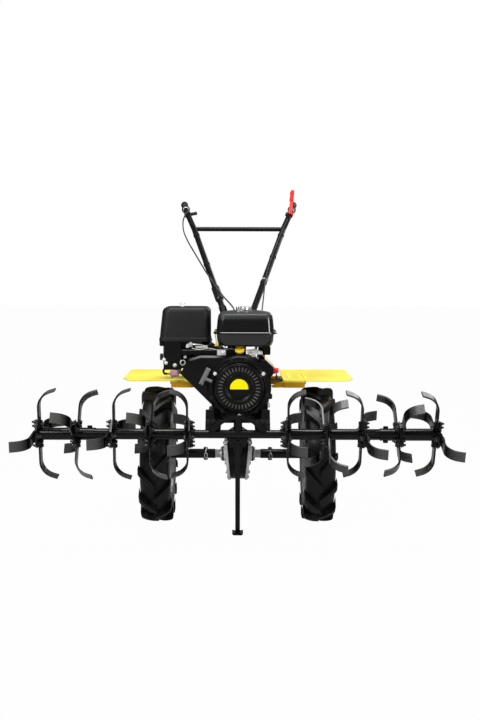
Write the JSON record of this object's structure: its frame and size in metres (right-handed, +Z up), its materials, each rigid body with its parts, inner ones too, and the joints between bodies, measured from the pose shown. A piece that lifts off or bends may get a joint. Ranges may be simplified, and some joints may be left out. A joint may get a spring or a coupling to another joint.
{
  "type": "walk-behind two-wheel tractor",
  "caption": "Walk-behind two-wheel tractor: engine and gear drive over an axle with lugged tyres, long handlebars, fenders, a front stand and a front bar of bolted tine rotors.",
  "frame": {"origin": "on the floor, under the middle of the outline", "axes": "+Z up, the machine faces -Y, +X is the machine's own left"},
  "size_m": [1.6592, 1.736, 1.4795],
  "materials": {
    "tyre": "matte",
    "rim_paint": "satin",
    "bare_steel": "satin",
    "black_paint": "satin",
    "rotor_paint": "satin",
    "tine_steel": "gloss",
    "gearbox_paint": "satin",
    "engine_black": "satin",
    "tank_gloss": "gloss",
    "dark_plastic": "matte",
    "grey_plastic": "matte",
    "cap_steel": "satin",
    "alloy": "satin",
    "muffler_steel": "matte",
    "red_plastic": "gloss",
    "yellow_paint": "gloss",
    "ochre_paint": "satin",
    "cable_rubber": "matte"
  },
  "bodies": {
    "chassis": {"air_filter_base": "black_paint", "air_filter_cover": "dark_plastic", "axle_bearings": "bare_steel", "bar_brackets": "black_paint", "bumper_arch": "black_paint", "carburettor": "alloy", "carrier_bar": "black_paint", "clamp_bolt": "dark_plastic", "clutch_cable": "cable_rubber", "clutch_housing": "gearbox_paint", "clutch_lever": "red_plastic", "cylinder_head": "engine_black", "drive_covers": "alloy", "engine_block": "engine_black", "engine_switch": "red_plastic", "fan_shroud": "black_paint", "fender_brackets": "ochre_paint", "fender_inner": "yellow_paint", "fender_outer": "yellow_paint", "final_drive_case": "gearbox_paint", "frame_rails": "black_paint", "fuel_cap": "cap_steel", "fuel_tank": "tank_gloss", "gear_lever": "black_paint", "gearbox": "gearbox_paint", "handle_clamp": "black_paint", "handle_column": "black_paint", "handle_crossbar": "black_paint", "handle_grips": "dark_plastic", "handle_tube_left": "black_paint", "handle_tube_right": "black_paint", "hitch_bracket": "black_paint", "muffler": "muffler_steel", "recoil_cap": "yellow_paint", "recoil_cover": "black_paint", "stand_bracket": "black_paint", "stand_pin": "bare_steel", "starter_grip": "grey_plastic", "throttle_cable": "cable_rubber", "throttle_lever": "dark_plastic"},
    "wheel_left": {"axle_shaft_left": "bare_steel", "rim_left": "rim_paint", "tyre_left": "tyre", "wheel_hub_left": "black_paint"},
    "wheel_right": {"axle_shaft_right": "bare_steel", "rim_right": "rim_paint", "tyre_right": "tyre", "wheel_hub_right": "black_paint"},
    "stand": {"front_stand": "black_paint"},
    "rotor_left": {"rotor_tube_inner_left": "rotor_paint", "rotor_tube_outer_left": "rotor_paint", "tines_inner_left": "tine_steel", "tines_outer_left": "tine_steel"},
    "rotor_right": {"rotor_tube_inner_right": "rotor_paint", "rotor_tube_outer_right": "rotor_paint", "tines_inner_right": "tine_steel", "tines_outer_right": "tine_steel"}
  },
  "joints": [
    {"name": "wheel_left_spin", "type": "hinge", "parent": "chassis", "child": "wheel_left", "pos_m": [0, -0.2275, 0.285], "axis": [1, 0, 0], "continuous": true},
    {"name": "wheel_right_spin", "type": "hinge", "parent": "chassis", "child": "wheel_right", "pos_m": [0, -0.2275, 0.285], "axis": [1, 0, 0], "continuous": true},
    {"name": "rotor_left_spin", "type": "hinge", "parent": "chassis", "child": "rotor_left", "pos_m": [0, -0.6875, 0.441], "axis": [1, 0, 0], "continuous": true},
    {"name": "rotor_right_spin", "type": "hinge", "parent": "chassis", "child": "rotor_right", "pos_m": [0, -0.6875, 0.441], "axis": [1, 0, 0], "continuous": true},
    {"name": "stand_fold", "type": "hinge", "parent": "chassis", "child": "stand", "pos_m": [0, -0.6195, 0.405], "axis": [1, 0, 0], "range_deg": [-98, 0]}
  ]
}
